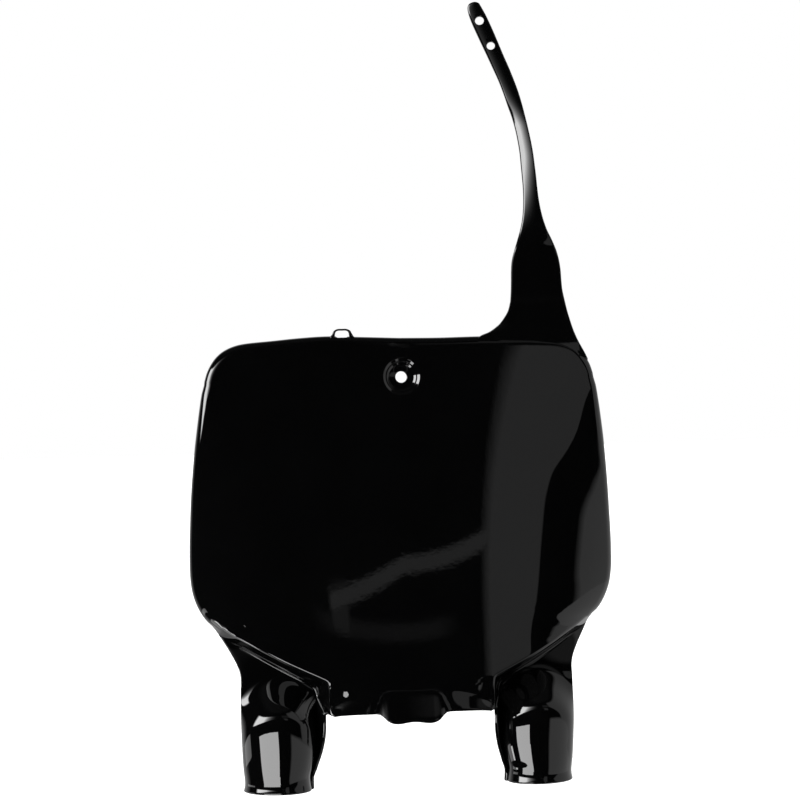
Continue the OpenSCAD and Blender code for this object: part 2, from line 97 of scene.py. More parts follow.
ROOT_L = [(58, 24.4), (63, 30.4), (70.5, 33.6), (76.5, 37.6), (80.3, 41.2), (85.7, 49.1), (88.2, 57)]
ROOT_R = [(144.2, 8), (147.2, 8.8), (148.3, 10.6), (147, 13.2), (144.1, 19), (140.8, 25.4), (137.6, 33.3),
          (135.2, 41.2), (133.1, 49.1), (131.5, 57)]

# ------------------------------------------------------------------ small helpers
_tan = {}


def tangents(t, c):
    key = (id(t), c)
    if key not in _tan:
        n, out = len(t), []
        for i in range(n):
            if i == 0:
                out.append((t[1][c] - t[0][c]) / (t[1][0] - t[0][0]))
            elif i == n - 1:
                out.append((t[i][c] - t[i - 1][c]) / (t[i][0] - t[i - 1][0]))
            else:
                wa, wb = t[i + 1][0] - t[i][0], t[i][0] - t[i - 1][0]
                a, b = (t[i][c] - t[i - 1][c]) / wb, (t[i + 1][c] - t[i][c]) / wa
                out.append(0 if a * b <= 0 else (a * wa + b * wb) / (wa + wb))
        _tan[key] = out
    return _tan[key]


def table(t, x, c=1):
    if x <= t[0][0]:
        return t[0][c]
    if x >= t[-1][0]:
        return t[-1][c]
    i = 0
    while t[i + 1][0] < x:
        i += 1
    m, h = tangents(t, c), t[i + 1][0] - t[i][0]
    u = (x - t[i][0]) / h
    return (t[i][c] * (1 + 2 * u) * (1 - u) ** 2 + h * m[i] * u * (1 - u) ** 2 + t[i + 1][c] * u * u * (3 - 2 * u)
            + h * m[i + 1] * u * u * (u - 1))


def along(p, s):
    n = len(p)
    i = min(int(floor(s)), n - 2)
    u, out = s - i, []
    for k in range(len(p[0])):
        a = p[i - 1][k] if i > 0 else 2 * p[0][k] - p[1][k]
        b, c = p[i][k], p[i + 1][k]
        d = p[i + 2][k] if i + 2 < n else 2 * p[n - 1][k] - p[n - 2][k]
        out.append(0.5 * (2 * b + (c - a) * u + (2 * a - 5 * b + 4 * c - d) * u * u + (3 * b - a - 3 * c + d) * u ** 3))
    return out


def ease(x):
    x = min(max(x, 0.0), 1.0)
    return x * x * (3 - 2 * x)


CROWN = [(-264, 0.00042), (-120, 0.00030), (0, 0.00014), (30, 0.00010)]
FLANK = [(-200, 88), (-120, 93), (-90, 97), (-76, 103), (-62, 118), (-50, 128), (-20, 138), (20, 140)]
FOLD = [(30, -242.5), (43, -243.6), (53, -247.4), (59.5, -251.6), (66, -254)]
FOLD_TOP = [(30, -239.8), (45, -239.6), (50.5, -239.2), (53.5, -234.6), (64, -232.4)]
FOLD_DEEP = [(30, 0), (43, 0.9), (53, 2.2), (62, 3.4), (66, 3.6)]


def axis_y(z):
    return LEAN * z - 3


def wide(z):
    return 143 if z < -205 else 143 + 3 * (z + 205) / 8.5 if z < -196.5 else table(SIDE, z)


def plain_face(x, z):
    a, w, q, x0 = abs(x), wide(z), table(CROWN, z), table(FLANK, z)
    e = table(DEPTH, z) - ROLL - RIM - axis_y(z) - q * w * w
    return axis_y(z) + q * a * a + e * max(0, (a - x0) / (w - x0)) ** 2.2


def dimple(x, z):
    a = abs(x)
    if a < 30:
        return 0
    zc, zu, zb, d = table(FOLD, a), table(FOLD_TOP, a), -257.5, table(FOLD_DEEP, a)
    if z >= zu or z <= zb:
        return 0
    return d * (zu - z) / (zu - zc) if z > zc else d * (z - zb) / (zc - zb)


def tongue(x, z):
    g = min(max((-243 - z) / 15, 0), 1.3)
    return 2.6 * g * (1 - ease((abs(x) - 18.6) / (3.4 + 6.6 * min(g, 1)))) if g > 0 else 0


def face(x, z):
    return plain_face(x, z) + dimple(x, z) - tongue(x, z)


def round_out(z, c):
    return 1.2 + 24.8 * ease((-242 - z + 14 * c * c) / 32) + 1.2 * ease((-311 - z) / 7)


def leg(q, z):
    xf = table(LEG_IN, z)
    xc = xf + table(FLANGE, z)
    if q <= 1:
        xo, a = table(LEG_OUT, z), radians(90 - 180 * q)
        s, c = sin(a), max(0, cos(a))
        u = (1 - s) / 2
        return [(xo + xc) / 2 + (xo - xc) / 2 * s,
                table(Y_OUT, z) * (1 - u) + table(Y_VAL, z) * u - round_out(z, c) * c, z]
    return [xc + (xf - xc) * (q - 1), table(Y_VAL, z) * (2 - q) + table(Y_FREE, z) * (q - 1), z]


def leg_q(x, z):
    xc, xo = table(LEG_IN, z) + table(FLANGE, z), table(LEG_OUT, z)
    return (90 - degrees(asin(min(1, max(-1, (x - (xo + xc) / 2) / ((xo - xc) / 2)))))) / 180


def wall(t, s, h, r1, r2, bend=5.0):
    """from the foot (0) up to the face (1): distance from the foot, depth behind the face"""
    rho = r1 + r2
    l = sqrt(max(0.0001, s * s + (h - rho) ** 2 - rho * rho))
    w = atan2(h - rho, s) + atan2(rho, l)
    l2, l1 = r2 * w * bend, r1 * w * bend
    p = t * (l2 + l + l1)
    if p < l2:
        f = w * p / l2
        return r2 * sin(f), h - r2 * (1 - cos(f))
    if p < l2 + l:
        g = p - l2
        return r2 * sin(w) + g * cos(w), h - r2 * (1 - cos(w)) - g * sin(w)
    f = w * (1 - (p - l2 - l) / l1)
    return s - r1 * sin(f), r1 * (1 - cos(f))


# ------------------------------------------------------------------ grid of the front surface
N_FLANGE, N_RIDGE, N_SIDE, N_TOP = 10, 72, 64, 84
N_ROLL, N_FACE, N_LEG = 22, 26, 56
J_LEG = N_FLANGE + N_RIDGE
J_TOP = J_LEG + N_SIDE + N_TOP
K_END = N_ROLL + N_FACE
N_CORNER = round(N_TOP * 0.42)


def ring(left, j):
    if j <= N_FLANGE:
        p = leg(2 - j / N_FLANGE, -258 + 12.5 * j / N_FLANGE)
        return [p[0], p[2]]
    if j <= J_LEG:
        return along(FOOT, (len(FOOT) - 1) * (1 - (j - N_FLANGE) / N_RIDGE))
    if j <= J_LEG + N_SIDE:
        z = -196.5 + 196.5 * (j - J_LEG) / N_SIDE
        return [wide(z), z]
    i = j - J_LEG - N_SIDE
    if i <= N_CORNER:
        return along(CORNER, (len(CORNER) - 1) * (1 - i / N_CORNER))
    x = 100 * (1 - (i - N_CORNER) / (N_TOP - N_CORNER))
    return [x, table(TOP_L if left else TOP_R, x)]


def inward(left, j):
    a = ring(left, max(j - 1, 0))
    b = [-a[0], a[1]] if j == J_TOP else ring(left, j + 1)
    l = hypot(b[0] - a[0], b[1] - a[1])
    return -(b[1] - a[1]) / l, (b[0] - a[0]) / l


def brow(left, j, f):
    if j <= N_FLANGE:
        return [60.5 + 1.7 * j / N_FLANGE, -258 + 21.4 * j / N_FLANGE]
    if j <= J_LEG:
        return along(BROW, (len(BROW) - 1) * (1 - (j - N_FLANGE) / N_RIDGE))
    n = inward(left, j)
    return [f[0] + ROLL * n[0], f[1] + ROLL * n[1]]


def spine(j):
    if j <= N_FLANGE:
        return -264.2 + 24.2 * j / N_FLANGE
    if j <= J_LEG:
        return -240 + 75 * (j - N_FLANGE) / N_RIDGE
    if j <= J_LEG + N_SIDE:
        return -165 + 85 * (j - J_LEG) / N_SIDE
    return -80 + 34 * (j - J_LEG - N_SIDE) / N_TOP


def column(left, j):
    """points from the lip of the leg (k = -N_LEG) over the ring (k = 0) to the centre line (k = K_END)"""
    sx, f = (-1 if left else 1), ring(left, j)
    t = brow(left, j, f)
    q0 = 2 - j / N_FLANGE if j <= N_FLANGE else leg_q(*f) if j <= J_LEG else 0
    q1 = q0 if j <= N_FLANGE else 1 - (j - N_FLANGE) / N_RIDGE
    e = 1 - ease((-196.5 - f[1]) / 10)
    g = 1 - ease((f[1] + 196.5) / 10) if J_LEG < j <= J_LEG + N_SIDE else 0
    if j > J_LEG:
        h, r1, r2 = ROLL + RIM, ROLL * 0.999 * (1 - g) + 3 * g, 0.001
    else:
        h, r1, r2 = leg(q0, f[1])[1] - plain_face(*f), 3, 2 * (1 - e) + 0.01
    s, fade, zs, col = hypot(t[0] - f[0], t[1] - f[1]), (1 - j / N_FLANGE if j < N_FLANGE else 0), spine(j), {}
    if j <= J_LEG:
        for r in range(1, N_LEG + 1):
            p = leg(q0 + (q1 - q0) * r / N_LEG, f[1] + (Z_LIP - f[1]) * r / N_LEG)
            col[-r] = (p[0] * sx, p[1], p[2])
    for i in range(N_ROLL + 1):
        w = wall(i / N_ROLL, s, h, r1, r2)
        x, z = f[0] + (t[0] - f[0]) * w[0] / s, f[1] + (t[1] - f[1]) * w[0] / s
        y0, b = plain_face(x, z), ease((i / N_ROLL - 0.5) * 2)
        col[i] = (x * sx, y0 + (face(x, z) - y0) * b + w[1], z)
    for i in range(1, N_FACE + 1):
        v = i / N_FACE
        c = v * (0.625 + 0.375 * v)
        x, z = t[0] * (1 - c), t[1] * (1 - c) + zs * c
        if fade > 0:
            z += fade * (table(LOWER, x) + 258 * (1 - c) + 264.2 * c)
        col[N_ROLL + i] = (x * sx, face(x, z), z)
    return col


# ------------------------------------------------------------------ shell: front sheet, back sheet, rounded edges
def build_shell():
    right = [column(False, j) for j in range(J_TOP + 1)]
    left = [column(True, j) for j in range(J_TOP)] + [right[J_TOP]]
    grid = {1: right, -1: left}
    index, front = {}, []

    def key(s, j, k):
        return (1, j, k) if s < 0 and (k == K_END or j == J_TOP) else (s, j, k)

    for s in (1, -1):
        for j in range(J_TOP + 1):
            for k in range(-N_LEG if j <= J_LEG else 0, K_END + 1):
                q = key(s, j, k)
                if q not in index:
                    index[q] = len(front)
                    front.append(Vector(grid[q[0]][j][k]))

    def at(s, j, k):
        if k > K_END:
            p = at(s, j, K_END - 1)
            return Vector((-p.x, p.y, p.z))
        if j > J_TOP:
            p = at(s, J_TOP - 1, k)
            return Vector((-p.x, p.y, p.z))
        j = max(j, 0)
        k = max(k, -N_LEG if j <= J_LEG else 0)
        return front[index[key(s, j, k)]]

    back_dir = [None] * len(front)
    for (s, j, k), i in index.items():
        jn = j + 1 if (k >= 0 or j < J_LEG) else j
        n = (at(s, j, k + 1) - at(s, j, k - 1)).cross(at(s, jn, k) - at(s, j - 1, k)) * s
        back_dir[i] = Vector((0, 1, -LEAN)).normalized() if (j == J_TOP and k == K_END) else n.normalized()

    quads = []
    for s in (1, -1):
        for j in range(J_TOP):
            for k in range(-N_LEG if j < J_LEG else 0, K_END):
                q = [index[key(s, *w)] for w in ((j, k), (j, k + 1), (j + 1, k + 1), (j + 1, k))]
                quads.append(tuple(q) if s > 0 else tuple(q[::-1]))
    # free edge: one loop, right side forwards and left side backwards
    half = ([(0, k) for k in range(K_END, -N_LEG - 1, -1)] + [(j, -N_LEG) for j in range(1, J_LEG + 1)]
            + [(J_LEG, k) for k in range(-N_LEG + 1, 1)] + [(j, 0) for j in range(J_LEG + 1, J_TOP + 1)])
    inner = ([(1, k) for k in range(K_END, -N_LEG, -1)] + [(1, -N_LEG + 1)] + [(j, -N_LEG + 1) for j in range(1, J_LEG)]
             + [(J_LEG - 1, -N_LEG + 1)] + [(J_LEG - 1, k) for k in range(-N_LEG + 1, 0)] + [(J_LEG - 1, 1)]
             + [(j, 1) for j in range(J_LEG + 1, J_TOP + 1)])
    loop = [(index[key(1, *a)], index[key(1, *b)]) for a, b in zip(half, inner)]
    loop += [(index[key(-1, *a)], index[key(-1, *b)]) for a, b in zip(half[-2:0:-1], inner[-2:0:-1])]
    return front, back_dir, quads, loop, index, key


def seat_profile(r_in, r_out):
    """stepped seat: radius and depth from the board's plane, with rounded edges, from the board in to the bolt hole"""
    corners = [(r_out, -3.0, 0), (14.3, -3.0, 0.7), (12.4, -1.4, 0.5), (11.4, -1.4, 0.5), (9.8, 0.0, 0.5),
               (4.5, 0.0, 0.35), (4.5, 2.6, 0.35), (13.2, 2.6, 0.8), (16.6, -0.4, 1.5), (r_out, -0.4, 0)]
    return corners


def rounded(points, step=4):
    """polyline of (a, b, radius) corners with round corners"""
    out = [points[0][:2]]
    for p, q, r in zip(points, points[1:], points[2:]):
        a, b, c = Vector(p[:2]), Vector(q[:2]), Vector(r[:2])
        u, v = (a - b), (c - b)
        rad = q[2]
        ang = u.angle(v)
        if rad <= 0 or ang > pi - 0.01:
            out.append(tuple(b))
            continue
        cut = min(rad / tan(ang / 2), 0.49 * u.length, 0.49 * v.length)
        rad = cut * tan(ang / 2)
        u.normalize()
        v.normalize()
        m = b + (u + v).normalized() * (rad / sin(ang / 2))
        p0, p1 = b + u * cut, b + v * cut
        for i in range(step + 1):
            w = (p0 - m).lerp(p1 - m, i / step)
            out.append(tuple(m + w.normalized() * rad))
    out.append(points[-1][:2])
    return out


def number_board():
    front, back_dir, quads, loop, index, key = build_shell()
    n = len(front)
    verts = [v.copy() for v in front] + [v + d * SHEET for v, d in zip(front, back_dir)]
    # pull the free edge in by the edge radius and lay a half-round bead on it
    m, bead = len(loop), []
    for i, (a, b) in enumerate(loop):
        run = (front[loop[(i + 1) % m][0]] - front[loop[i - 1][0]]).normalized()
        out = front[a] - front[b]
        out -= out.dot(run) * run
        out -= out.dot(back_dir[a]) * back_dir[a]
        bead.append(out.normalized())
    steps = [30, 60, 90]
    rows = [[a for a, _ in loop]]
    for o, (a, _) in enumerate(loop):
        verts[a] = front[a] - bead[o] * EDGE
        verts[a + n] = front[a] - bead[o] * EDGE + back_dir[a] * SHEET
    for side in (0, 1):
        for deg in (steps if side == 0 else steps[::-1]):
            c, s, row = EDGE * (1 - cos(radians(deg))), EDGE * (1 - sin(radians(deg))), []
            for o, (a, _) in enumerate(loop):
                row.append(len(verts))
                verts.append(front[a] - bead[o] * s + back_dir[a] * (c if side == 0 else SHEET - c))
            rows.append(row)
    rows.append([a + n for a, _ in loop])
    faces = []
    # the bolt seat takes the place of the grid round the hole
    beta = atan(LEAN)
    ex, ez, ey = Vector((1, 0, 0)), Vector((0, sin(beta), cos(beta))), Vector((0, cos(beta), -sin(beta)))
    r_cut, r_seat, n_seat = 27.0, 20.0, 96
    near = set(i for i, v in enumerate(front) if hypot(v.x, v.z) < r_cut)
    kept, gone = [], []
    for q in quads:
        (gone if any(i in near for i in q) else kept).append(q)
    faces += [q for q in kept] + [tuple(i + n for i in q[::-1]) for q in kept]
    count = {}
    for q in gone:
        for a, b in zip(q, q[1:] + q[:1]):
            count[(a, b)] = True
    rim = {a: b for a, b in count if (b, a) not in count}
    start = next(iter(rim))
    ringv = [start]
    while rim[ringv[-1]] != start:
        ringv.append(rim[ringv[-1]])
    prof = rounded(seat_profile(4.5, r_seat))
    circles = []
    for r, y in prof:
        row = []
        for i in range(n_seat):
            a = 2 * pi * i / n_seat
            row.append(len(verts))
            p = ex * (r * cos(a)) + ez * (r * sin(a)) + ey * (y * cos(beta))
            verts.append(p)
        circles.append(row)
    # the outermost circles lie on the sheets
    for row, off in ((circles[0], 0), (circles[-1], 1)):
        for i in row:
            v = verts[i]
            verts[i] = Vector((v.x, face(v.x, v.z), v.z)) + off * SHEET * Vector((0, cos(beta), -sin(beta)))
    for a, b in zip(circles, circles[1:]):
        for i in range(n_seat):
            k = (i + 1) % n_seat
            faces.append((a[i], b[i], b[k], a[k]))
    for side, circle in ((0, circles[0]), (1, circles[-1])):
        pts = [Vector((verts[i + side * n].x, verts[i + side * n].z)) for i in ringv] + [Vector((verts[i].x, verts[i].z)) for i in circle]
        ids = [i + side * n for i in ringv] + list(circle)
        lr = len(ringv)
        extra = []
        for rr in (23.2,):
            for i in range(n_seat):
                a = 2 * pi * (i + 0.5) / n_seat
                extra.append(Vector((rr * cos(a), rr * sin(a) * cos(beta))))
        for v in extra:
            ids.append(len(verts))
            p = Vector((v.x, face(v.x, v.y), v.y))
            verts.append(p + side * SHEET * Vector((0, cos(beta), -sin(beta))))
        pts += extra
        edges = [(i, (i + 1) % lr) for i in range(lr)] + [(lr + i, lr + (i + 1) % n_seat) for i in range(n_seat)]
        vo, eo, fo, ov, oe, of_ = delaunay_2d_cdt(pts, edges, [], 2, 1e-6)
        if len(vo) != len(pts):
            raise RuntimeError("seat patch changed its points")
        back = [o[0] for o in ov]
        for f in fo:
            if all(lr <= back[i] < lr + n_seat for i in f):
                continue
            t = [ids[back[i]] for i in f]
            # counter-clockwise in x, z seen from the front is outwards
            faces.append(tuple(t) if side == 0 else tuple(t[::-1]))
    for a, b in zip(rows, rows[1:]):
        for i in range(m):
            k = (i + 1) % m
            faces.append((a[i], a[k], b[k], b[i]))
    return verts, faces


def mesh_object(name, verts, faces):
    mesh = bpy.data.meshes.new(name)
    used = sorted({i for f in faces for i in f})
    where = {i: k for k, i in enumerate(used)}
    mesh.from_pydata([tuple(c / 1000 for c in verts[i]) for i in used], [], [tuple(where[i] for i in f) for f in faces])
    mesh.validate()
    obj = bpy.data.objects.new(name, mesh)
    bpy.context.scene.collection.objects.link(obj)
    return obj


# ------------------------------------------------------------------ strap
def strap_front(u, z, xl, xr):
    mid = (xl + xr) / 2
    x = xl * (1 - u) + xr * u
    return Vector((x, table(STRAP_Y, z) - (x - mid) * tan(radians(table(STRAP_TURN, z)))
                   + 0.6 * (2 * u - 1) ** 2 * ease((z - 60) / 40), z))


def root_y(x, z):
    zc = min(z, 26)
    dive = 3 * ease((15 - z) / 7) * ease((x - 140) / 5)      # its outer end sinks into the rolled edge
    return table(STRAP_Y, z) + (plain_face(min(x, 146), zc) - axis_y(zc)) * (1 - ease((z - 24) / 33)) + dive


def root_front(u, t):
    l, r, b = along(ROOT_L, (len(ROOT_L) - 1) * t), along(ROOT_R, (len(ROOT_R) - 1) * t), along(ROOT_LOW, (len(ROOT_LOW) - 1) * u)
    h, p = [88.2 * (1 - u) + 131.5 * u, 57], []
    for k in range(2):
        p.append((1 - u) * l[k] + u * r[k] + (1 - t) * b[k] + t * h[k]
                 - ((1 - u) * (1 - t) * ROOT_LOW[0][k] + u * (1 - t) * ROOT_LOW[-1][k]
                    + (1 - u) * t * (88.2, 57)[k] + u * t * (131.5, 57)[k]))
    return Vector((p[0], root_y(*p), p[1]))


def strap_object():
    n_u, rows = 20, []
    for i in range(30):
        rows.append(("root", i / 30))
    z = 57.0
    while z < 281:
        rows.append(("strap", z))
        z += 2.5
    rows += [("strap", z) for z in (281, 283, 285, 287, 289, 290.7, 292.2, 293.5, 294.6, 295.5, 296.2, 296.7, 296.95)]
    us = [0.5 - 0.5 * cos(pi * i / n_u) for i in range(n_u + 1)]
    verts, faces, loops = [], [], []
    for kind, v in rows:
        xl, xr = (0, 0) if kind == "root" else (table(STRAP, v, 1), table(STRAP, v, 2))
        p = [root_front(u, v) if kind == "root" else strap_front(u, v, xl, xr) for u in us]
        zm = p[n_u // 2].z
        t = 2.8 * (1 + 0.08 * ease((zm - 150) / 60))
        w = (p[-1] - p[0]).length
        half, r = [], min(0.9, w * 0.3)
        for q in p:
            d = min((q - p[0]).length, (q - p[-1]).length)
            s = r - sqrt(max(0, r * r - max(0, r - d) ** 2)) if d < r else 0
            half.append(s)
        front_row = [q + Vector((0, s, 0)) for q, s in zip(p, half)]
        back_row = [q + Vector((0, t - s, 0)) for q, s in zip(p, half)]
        loop = front_row + back_row[::-1]
        loops.append([len(verts) + i for i in range(len(loop))])
        verts += loop
    c = len(loops[0])
    for a, b in zip(loops, loops[1:]):
        for i in range(c):
            k = (i + 1) % c
            faces.append((a[i], a[k], b[k], b[i]))
    w = n_u + 1
    for row, flip in ((loops[0], True), (loops[-1], False)):
        for i in range(n_u):
            f = (row[i], row[i + 1], row[c - 2 - i], row[c - 1 - i])
            faces.append(f[::-1] if flip else f)
    return mesh_object("strap", verts, faces)


# ------------------------------------------------------------------ cable eye: a bent bar round a slot
def eye_object():
    verts, faces, loops = [], [], []
    outer = [(-55.2, 27.5), (-54.4, 32.0), (-52.7, 34.2), (-51.5, 36.6), (-48.8, 38.25), (-45.0, 38.4), (-41.6, 38.3),
             (-38.7, 37.0), (-37.2, 34.4), (-35.9, 32.4), (-33.4, 29.8), (-32.8, 27.5)]
    inner = [(-51.6, 27.5), (-50.9, 31.2), (-50.5, 33.6), (-49.9, 35.6), (-48.0, 36.85), (-45.0, 36.9), (-42.1, 36.85),
             (-40.3, 35.7), (-39.6, 33.8), (-39.3, 31.6), (-38.2, 30.2), (-37.6, 27.5)]
    n = 66
    y0, y1 = 2.5, 2.5 + 3.2
    for i in range(n + 1):
        s = (len(outer) - 1) * i / n
        a, b = Vector(along(outer, s)), Vector(along(inner, s))
        mid, h = (a + b) / 2, (a - b) / 2
        row = []
        for k in range(20):
            t = 2 * pi * k / 20
            cx, cy = cos(t), sin(t)
            e = 0.45
            px = abs(cx) ** e * (1 if cx > 0 else -1)
            py = abs(cy) ** e * (1 if cy > 0 else -1)
            q = mid + h * px
            row.append(len(verts))
            verts.append(Vector((q.x, (y0 + y1) / 2 + (y1 - y0) / 2 * py, q.y)))
        loops.append(row)
    for a, b in zip(loops, loops[1:]):
        for i in range(20):
            k = (i + 1) % 20
            faces.append((a[i], b[i], b[k], a[k]))
    faces.append(tuple(loops[0]))
    faces.append(tuple(loops[-1][::-1]))
    return mesh_object("eye", verts, faces)


def apply_boolean(obj, other, operation):
    mod = obj.modifiers.new("cut", "BOOLEAN")
    mod.operation = operation
    mod.solver = "MANIFOLD"
    mod.object = other
    deps = bpy.context.evaluated_depsgraph_get()
    mesh = bpy.data.meshes.new_from_object(obj.evaluated_get(deps))
    obj.modifiers.clear()
    old = obj.data
    obj.data = mesh
    bpy.data.meshes.remove(old)
    bpy.data.objects.remove(other)


def lathe(name, profile, at, direction, n=64):
    """closed turned body: profile of (radius, height) from the axis back to the axis"""
    d = Vector(direction).normalized()
    u = d.orthogonal().normalized()
    v = d.cross(u)
    verts, faces, rows = [], [], []
    for r, h in profile:
        if r == 0:
            rows.append([len(verts)])
            verts.append(Vector(at) + d * h)
        else:
            rows.append([len(verts) + i for i in range(n)])
            verts += [Vector(at) + d * h + (u * cos(2 * pi * i / n) + v * sin(2 * pi * i / n)) * r for i in range(n)]
    for a, b in zip(rows, rows[1:]):
        for i in range(n):
            k = (i + 1) % n
            if len(a) == 1:
                faces.append((a[0], b[i], b[k]))
            elif len(b) == 1:
                faces.append((a[i], b[0], a[k]))
            else:
                faces.append((a[i], b[i], b[k], a[k]))
    return mesh_object(name, verts, faces)


def hole_cutter(name, at, direction, r, thick):
    """drill with a small lead-in on both sides; height 0 is the front of the sheet"""
    b = 0.35
    prof = [(0, 8), (r + b + 0.9, 8), (r + b + 0.9, 0.6), (r + b, 0.05), (r + 0.12, -0.22), (r, -b - 0.15),
            (r, -thick + b + 0.15), (r + 0.12, -thick + 0.22), (r + b, -thick - 0.05), (r + b + 0.9, -thick - 0.6),
            (r + b + 0.9, -thick - 8), (0, -thick - 8)]
    return lathe(name, prof, at, direction)


def slot_cutter():
    verts, n, r = [], 24, 2.65
    z0 = 38.4 - 1.5 - r
    ring_pts = []
    for i in range(n + 1):
        a = pi / 2 + pi * i / n
        ring_pts.append((-47.85 + r * cos(a), z0 + r * sin(a)))
    for i in range(n + 1):
        a = -pi / 2 + pi * i / n
        ring_pts.append((-42.25 + r * cos(a), z0 + r * sin(a)))
    m = len(ring_pts)
    for y in (-2.0, 12.0):
        verts += [Vector((x, y, z)) for x, z in ring_pts]
    faces = [tuple(range(m)), tuple(range(2 * m - 1, m - 1, -1))]
    faces += [(i, i + m, (i + 1) % m + m, (i + 1) % m) for i in range(m)]
    return mesh_object("slot", verts, faces)


def fix_out(obj):
    """faces point outwards"""
    import bmesh
    bm = bmesh.new()
    bm.from_mesh(obj.data)
    bmesh.ops.recalc_face_normals(bm, faces=bm.faces)
    if bm.calc_volume(signed=True) < 0:
        bmesh.ops.reverse_faces(bm, faces=bm.faces)
    bm.to_mesh(obj.data)
    bm.free()
    return obj


verts, faces = number_board()
board = fix_out(mesh_object("board_moulding", verts, faces))
apply_boolean(board, fix_out(strap_object()), "UNION")
apply_boolean(board, fix_out(eye_object()), "UNION")
apply_boolean(board, fix_out(slot_cutter()), "DIFFERENCE")
hole_dir = (-0.185, -1.0, 0.14)
for name, x, z, r in (("tip", 73.9, 281.9, 3.5), ("low", 82.1, 261.5, 3.25)):
    y = table(STRAP_Y, z) + 0.1
    apply_boolean(board, fix_out(hole_cutter(name, (x, y, z), hole_dir, r, 2.84)), "DIFFERENCE")

mesh = board.data
for poly in mesh.polygons:
    poly.use_smooth = True
mesh.set_sharp_from_angle(angle=radians(38))

# ------------------------------------------------------------------ material: gloss black moulded plastic
mat = bpy.data.materials.new("gloss_black_moulding")
mat.use_nodes = True
nt = mat.node_tree
nt.nodes.clear()
out = nt.nodes.new("ShaderNodeOutputMaterial")
bsdf = nt.nodes.new("ShaderNodeBsdfPrincipled")
nt.links.new(bsdf.outputs["BSDF"], out.inputs["Surface"])
bsdf.inputs["IOR"].default_value = 1.5
bsdf.inputs["Specular IOR Level"].default_value = 0.5
coord = nt.nodes.new("ShaderNodeTexCoord")
# faint mottling of the pigment
n1 = nt.nodes.new("ShaderNodeTexNoise")
n1.inputs["Scale"].default_value = 22.0
n1.inputs["Detail"].default_value = 4.0
ramp = nt.nodes.new("ShaderNodeValToRGB")
ramp.color_ramp.elements[0].color = (0.0006, 0.0006, 0.00065, 1)
ramp.color_ramp.elements[1].color = (0.0012, 0.00125, 0.0013, 1)
nt.links.new(coord.outputs["Object"], n1.inputs["Vector"])
nt.links.new(n1.outputs["Fac"], ramp.inputs["Fac"])
nt.links.new(ramp.outputs["Color"], bsdf.inputs["Base Color"])
# flow marks make the polish slightly uneven
n2 = nt.nodes.new("ShaderNodeTexNoise")
n2.inputs["Scale"].default_value = 9.0
n2.inputs["Detail"].default_value = 3.0
rough = nt.nodes.new("ShaderNodeMapRange")
rough.inputs["From Min"].default_value = 0.3
rough.inputs["From Max"].default_value = 0.7
rough.inputs["To Min"].default_value = 0.008
rough.inputs["To Max"].default_value = 0.018
nt.links.new(coord.outputs["Object"], n2.inputs["Vector"])
nt.links.new(n2.outputs["Fac"], rough.inputs["Value"])
nt.links.new(rough.outputs["Result"], bsdf.inputs["Roughness"])
# very fine orange-peel of a moulded skin
n3 = nt.nodes.new("ShaderNodeTexNoise")
n3.inputs["Scale"].default_value = 260.0
n3.inputs["Detail"].default_value = 2.0
bump = nt.nodes.new("ShaderNodeBump")
bump.inputs["Strength"].default_value = 0.04
bump.inputs["Distance"].default_value = 0.00008
nt.links.new(coord.outputs["Object"], n3.inputs["Vector"])
nt.links.new(n3.outputs["Fac"], bump.inputs["Height"])
nt.links.new(bump.outputs["Normal"], bsdf.inputs["Normal"])
mesh.materials.clear()
mesh.materials.append(mat)

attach(board, "root")
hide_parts("number_plate")

# ------------------------------------------------------------------ camera at the photograph's angle
yaw, roll = radians(7), radians(1.4)
look = Vector((sin(yaw), cos(yaw), 0))
right = Vector((cos(yaw), -sin(yaw), 0))
up = Vector((0, 0, 1))
target = Vector((-1.748, -3.0, -17.905)) / 1000
cam_data = bpy.data.cameras.new("camera")
cam_data.sensor_fit = "HORIZONTAL"
cam_data.sensor_width = 36.0
cam_data.lens = 36.0 * 2516 / 800
cam_data.clip_start = 0.05
cam_data.clip_end = 100
cam = bpy.data.objects.new("camera", cam_data)
bpy.context.scene.collection.objects.link(cam)
xc = right * cos(roll) - up * sin(roll)
yc = right * sin(roll) + up * cos(roll)
m = Matrix((xc, yc, -look)).transposed().to_4x4()
m.translation = target - look * 1.95
cam.matrix_world = m
bpy.context.scene.camera = cam

# ------------------------------------------------------------------ pale floor and studio light
floor_mesh = bpy.data.meshes.new("floor")
s, zf = 14.0, -0.336
floor_mesh.from_pydata([(-s, -s, zf), (s, -s, zf), (s, s, zf), (-s, s, zf)], [], [(0, 1, 2, 3)])
ground = bpy.data.objects.new("floor", floor_mesh)
bpy.context.scene.collection.objects.link(ground)
fmat = bpy.data.materials.new("pale_floor")
fmat.use_nodes = True
fb = fmat.node_tree.nodes["Principled BSDF"]
fb.inputs["Base Color"].default_value = (0.9, 0.9, 0.9, 1)
fb.inputs["Roughness"].default_value = 0.9
fb.inputs["Emission Color"].default_value = (1, 1, 1, 1)
fb.inputs["Emission Strength"].default_value = 0.9
floor_mesh.materials.append(fmat)
ground.visible_glossy = False

